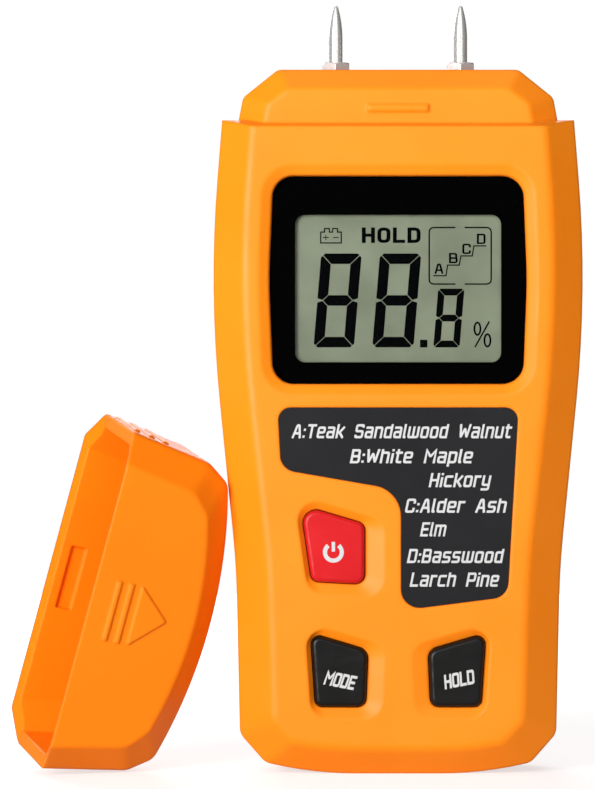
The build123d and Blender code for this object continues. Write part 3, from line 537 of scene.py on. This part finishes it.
class Print:
    """Thin raised ink on a face that looks towards -Y: x is across, y is up."""

    def __init__(self, name, face, thick):
        self.name = name
        self.mesh = bmesh.new()
        self.face = face
        self.thick = thick
        self.rise = 0.0
        self.turn = lambda point: point

    def corner(self, point, lift):
        x, z = self.turn(point)
        return self.mesh.verts.new((x * MM, (self.face - lift) * MM, z * MM))

    def patch(self, outline):
        """A filled convex outline, in order, as a thin solid."""
        top = [self.corner(point, self.thick) for point in outline]
        base = [self.corner(point, 0.0) for point in outline]
        self.mesh.faces.new(top)
        self.mesh.faces.new(base[::-1])
        for i in range(len(outline)):
            k = (i + 1) % len(outline)
            self.mesh.faces.new((top[k], top[i], base[i], base[k]))

    def stroke(self, points, half, radius=0.0, closed=False, keen=(), longer=(0.0, 0.0)):
        """A band along a line; its top rises by a hair all the way, so crossings never coincide."""
        points = [Vector(point) for point in points]
        if radius:
            points = rounded(points, radius, closed, keen)
        points[0] += (points[0] - points[1]).normalized() * longer[0]
        points[-1] += (points[-1] - points[-2]).normalized() * longer[1]
        left, right = band_sides(points, half, closed)
        rows = []
        for a, b in zip(left, right):
            self.rise += RISE
            top = self.thick + self.rise
            corners = (self.corner(a, top), self.corner(b, top))
            rows.append(corners + (self.corner(b, 0.0), self.corner(a, 0.0)))
        if closed:
            rows.append(rows[0])
        for first, second in zip(rows, rows[1:]):
            for i in range(4):
                k = (i + 1) % 4
                self.mesh.faces.new((first[i], first[k], second[k], second[i]))
        if not closed:
            self.mesh.faces.new(rows[0][::-1])
            self.mesh.faces.new(rows[-1])

    def words(self, text, left, right, base, high, weight, slant=0.0, gap=0.32, radius=0.28, turn=0.0):
        """A line of text that fills the width from left to right."""
        half = weight / 2
        unit = (high - weight) / CAPITAL
        natural = sum(LETTERS[mark][0] * unit + weight + gap for mark in text) - gap
        slack = (right - left - slant * high) / natural
        middle = Vector(((left + right) / 2, base + high / 2))
        cos, sin = math.cos(turn), math.sin(turn)
        pen = left
        for mark in text:
            wide = LETTERS[mark][0]
            self.rise = 0.0

            def placed(point, pen=pen):
                x = pen + point[0] * slack + point[1] * slant - middle.x
                y = base + point[1] - middle.y
                return (middle.x + x * cos - y * sin, middle.y + x * sin + y * cos)

            self.turn = placed
            for grid, closed, keen, outer in strokes_of(mark):
                points = [(x * unit + half, y * unit + half) for x, y in grid]
                self.stroke(points, half, radius, closed, keen, [half * far for far in outer])
            pen += (wide * unit + weight + gap) * slack
        self.turn = lambda point: point
        self.rise = 0.0

    def finish(self, material, body, slot):
        bmesh.ops.recalc_face_normals(self.mesh, faces=self.mesh.faces)
        data = bpy.data.meshes.new(self.name)
        self.mesh.to_mesh(data)
        self.mesh.free()
        data.materials.append(material)
        piece = bpy.data.objects.new(self.name, data)
        bpy.context.scene.collection.objects.link(piece)
        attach(piece, body)
        return piece


def face_of_node(name):
    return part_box(name)[0].y / MM


# ---------------------------------------------------------------- species chart
# Each line with its left end, right end and baseline, in millimetres.
LEGEND = [
    ("A:Teak Sandalwood Walnut", -19.6, 21.1, 62.15),
    ("B:White Maple", -8.9, 14.0, 57.55),
    ("Hickory", 5.6, 17.3, 53.15),
    ("C:Alder Ash", 1.2, 20.2, 48.45),
    ("Elm", 4.0, 9.1, 44.1),
    ("D:Basswood", 1.6, 19.6, 39.2),
    ("Larch Pine", 2.1, 18.8, 34.85),
]
LEGEND_HIGH = 2.6
LEGEND_WEIGHT = 0.43
legend = Print("chart_legend", face_of_node("chart_label"), INK)
for text, left, right, base in LEGEND:
    legend.words(text, left, right, base, LEGEND_HIGH, LEGEND_WEIGHT, slant=0.2, radius=0.26)
legend.finish(ink_white, "housing", "white_plastic")

# ---------------------------------------------------------------- key legends
# Power sign: an open ring, from SIGN_START degrees on, and an upright bar in its gap.
SIGN = Vector((-11.9, 41.2))
SIGN_RADIUS = 1.55
SIGN_START = 128.0
SIGN_SWEEP = 284.0
SIGN_STEPS = 24
power_sign = Print("power_symbol", face_of_node("power_key"), INK)
sign_arc = []
for step in range(SIGN_STEPS + 1):
    angle = math.radians(SIGN_START + step * (SIGN_SWEEP / SIGN_STEPS))
    sign_arc.append(SIGN + Vector((math.cos(angle), math.sin(angle))) * SIGN_RADIUS)
power_sign.stroke(sign_arc, 0.38)
power_sign.stroke([SIGN + Vector((0.0, 0.1)), SIGN + Vector((0.0, 1.9))], 0.31)
power_sign.finish(ink_white, "power_button", "white_plastic")

KEY_TILT = math.radians(11.0)
KEY_HIGH = 2.65
KEY_WEIGHT = 0.5
KEY_GAP = 0.14
mode_word = Print("mode_legend", face_of_node("mode_key"), INK)
mode_word.words(
    "MODE", -13.6, -7.6, 16.3, KEY_HIGH, KEY_WEIGHT, slant=0.14, gap=KEY_GAP, turn=-KEY_TILT
)
mode_word.finish(ink_white, "mode_button", "white_plastic")
hold_word = Print("hold_legend", face_of_node("hold_key"), INK)
hold_word.words(
    "HOLD", 8.3, 14.2, 16.5, KEY_HIGH, KEY_WEIGHT, slant=0.12, gap=KEY_GAP, turn=KEY_TILT
)
hold_word.finish(ink_white, "hold_button", "white_plastic")

# ---------------------------------------------------------------- display symbols
symbols = Print("display_symbols", face_of_node("display_glass"), INK)


def inset(outline, by):
    """A convex outline moved inwards on every side."""
    count = len(outline)
    area = sum(a.x * b.y - b.x * a.y for a, b in zip(outline, outline[1:] + outline[:1]))
    turn = 1.0 if area > 0 else -1.0
    out = []
    for i, here in enumerate(outline):
        first = (here - outline[i - 1]).normalized()
        second = (outline[(i + 1) % count] - here).normalized()
        inward = Vector((-first.y - second.y, first.x + second.x)) * turn
        out.append(here + inward * (by / (1.0 + first.dot(second))))
    return out


def seven_segments(left, right, low, high, bar, slant, clear=0.065, blunt=0.75):
    """One figure with all seven bars shown; left and right are its ends at the bottom."""
    wide, tall = right - left, high - low
    middle = tall / 2
    nose = blunt * 0.5
    level = [
        (nose, -nose), (blunt, 0), (wide - blunt, 0),
        (wide - nose, -nose), (wide - bar, -bar), (bar, -bar),
    ]
    upright = [
        (0, 0.35), (0, middle - blunt), (nose, middle - nose),
        (bar, middle - bar), (bar, bar / 2), (bar / 2, 0.02),
    ]
    across = [
        (bar / 2, 0), (bar, bar / 2), (wide - bar, bar / 2),
        (wide - bar / 2, 0), (wide - bar, -bar / 2), (bar, -bar / 2),
    ]
    shapes = [
        [(x, tall + y) for x, y in level],
        [(x, -y) for x, y in level],
        [(x, middle + y) for x, y in across],
    ]
    for mirror_x in (False, True):
        for way in (1, -1):
            shapes.append([(wide - x if mirror_x else x, middle + way * y) for x, y in upright])
    for shape in shapes:
        outline = inset([Vector(point) for point in shape], clear)
        symbols.patch([(left + p.x + p.y * slant, low + p.y) for p in outline])


FIGURE_BASE = 78.85
FIGURE_TOP = 96.3
FIGURE_SLANT = 0.083
seven_segments(-15.7, -8.1, FIGURE_BASE, FIGURE_TOP, 2.05, FIGURE_SLANT)
seven_segments(-4.85, 2.9, FIGURE_BASE, FIGURE_TOP, 2.05, FIGURE_SLANT)
seven_segments(6.45, 11.4, FIGURE_BASE, 89.8, 1.35, FIGURE_SLANT, clear=0.05, blunt=0.5)

# Decimal point, and the hold sign above the figures.
symbols.patch([(4.05, 78.9), (5.4, 78.9), (5.4, 80.3), (4.05, 80.3)])
symbols.words("HOLD", -6.7, 4.15, 98.2, 2.85, 0.58, gap=0.36, radius=0.8)

# Group frame in two halves, with its steps A to D. FRAME, THIN and POLE_HALF are half line widths.
FRAME = 0.13
THIN = 0.11
symbols.stroke([(10.6, 101.05), (5.75, 101.05), (5.75, 90.6), (10.6, 90.6)], FRAME, 0.9)
symbols.stroke([(12.3, 101.05), (17.2, 101.05), (17.2, 90.6), (12.3, 90.6)], FRAME, 0.9)
STEPS = [
    (6.5, 92.15), (8.85, 92.15), (9.15, 94.1), (11.3, 94.1),
    (11.6, 95.8), (13.7, 95.8), (14.0, 97.65), (16.3, 97.65),
]
symbols.stroke(STEPS, THIN)
for mark, left, base in (("A", 6.75, 92.5), ("B", 9.4, 94.45), ("C", 11.85, 96.15), ("D", 14.55, 98.0)):
    symbols.words(mark, left, left + 1.6, base, 1.9, 0.3, radius=0.25)

# Low battery sign: a case with two posts, a plus and a minus.
POLE_HALF = 0.08
case = [
    (-14.3, 98.2), (-14.3, 100.2), (-13.6, 100.2), (-13.6, 100.85), (-12.7, 100.85), (-12.7, 100.2),
    (-12.1, 100.2), (-12.1, 100.85), (-11.2, 100.85), (-11.2, 100.2), (-10.5, 100.2), (-10.5, 98.2),
]
symbols.stroke(case, THIN, closed=True)
symbols.stroke([(-13.9, 99.2), (-12.8, 99.2)], POLE_HALF)
symbols.stroke([(-13.35, 98.75), (-13.35, 99.65)], POLE_HALF)
symbols.stroke([(-12.0, 99.2), (-10.95, 99.2)], POLE_HALF)

# Per cent sign: two upright ovals and a slanting bar.
OVAL_STEPS = 16
OVAL_WIDE = 0.56
OVAL_TALL = 1.15
for x, z in ((14.65, 82.35), (16.5, 80.2)):
    oval = []
    for step in range(OVAL_STEPS):
        angle = math.radians(step * (360.0 / OVAL_STEPS))
        oval.append((x + OVAL_WIDE * math.cos(angle), z + OVAL_TALL * math.sin(angle)))
    symbols.stroke(oval, 0.17, closed=True)
symbols.stroke([(14.2, 78.95), (16.85, 83.7)], 0.14)
symbols.finish(ink_segment, "housing", "black_print")

# ---------------------------------------------------------------- floor and light
# The sheet shines white to the eye, but throws little light back on the object.
floor_finish = Finish("paper_floor")
fibres = floor_finish.noise(3 * MM, 4.0)
paper = floor_finish.tint(fibres, rgb(0.46, 0.46, 0.46), rgb(0.50, 0.50, 0.50))
sheet_normal = floor_finish.bump(fibres, 0.02 * MM)
away = floor_finish.add("VectorMath", {"operation": "LENGTH"}, {0: floor_finish.place}, output=1)
lit = floor_finish.tint(floor_finish.spread(away, 0.10, 0.45), rgb(0.66, 0.66, 0.66), rgb(0.9, 0.9, 0.9))
watched = floor_finish.add("LightPath")
lit = floor_finish.tint(watched, rgb(0.12, 0.12, 0.12), lit)
floor_shader = floor_finish.surface(
    base_color=paper, roughness=0.8, normal=sheet_normal, emission_color=lit, emission_strength=1.0
)
floor_material = floor_finish.close(floor_shader)

FLOOR_RADIUS = 0.62
floor_mesh = bmesh.new()
bmesh.ops.create_circle(floor_mesh, cap_ends=True, radius=FLOOR_RADIUS, segments=96)
floor_data = bpy.data.meshes.new("floor")
floor_mesh.to_mesh(floor_data)
floor_mesh.free()
floor_data.materials.append(floor_material)
floor = bpy.data.objects.new("floor", floor_data)
bpy.context.scene.collection.objects.link(floor)


def soft_lamp(name, place, aim, size, power):
    lamp = bpy.data.lights.new(name, "AREA")
    lamp.shape = "RECTANGLE"
    lamp.size, lamp.size_y = size
    lamp.energy = power
    holder = bpy.data.objects.new(name, lamp)
    holder.location = place
    holder.rotation_euler = (Vector(aim) - Vector(place)).to_track_quat("-Z", "Y").to_euler()
    bpy.context.scene.collection.objects.link(holder)


AIM = (-0.01, 0.0, 0.07)
soft_lamp("key_lamp", (-0.52, -0.85, 0.22), AIM, (0.5, 0.6), 14.0)
soft_lamp("fill_lamp", (0.36, -0.95, 0.18), AIM, (0.3, 0.6), 1.25)
soft_lamp("brow_lamp", (0.05, -0.95, 0.62), AIM, (0.6, 0.25), 1.6)
soft_lamp("top_lamp", (0.05, -0.05, 0.95), AIM, (0.7, 0.5), 0.7)
soft_lamp("back_lamp", (-0.3, 1.0, 0.5), AIM, (0.8, 0.5), 6.5)

# The world is white to the eye and gives the object a faint light from all round.
AMBIENT = 0.12
world = bpy.data.worlds.new("studio")
bpy.context.scene.world = world
sky = Nodes(world)
seen = sky.add("Background", None, {"Color": rgb(1, 1, 1), "Strength": 1.0})
ambient = sky.add("Background", None, {"Color": rgb(1, 1, 1), "Strength": AMBIENT})
watching = sky.add("LightPath")
choice = sky.add("MixShader", None, {0: watching, 1: ambient, 2: seen})
sky.add("OutputWorld", None, {"Surface": choice})
bpy.context.scene.view_settings.view_transform = "Standard"
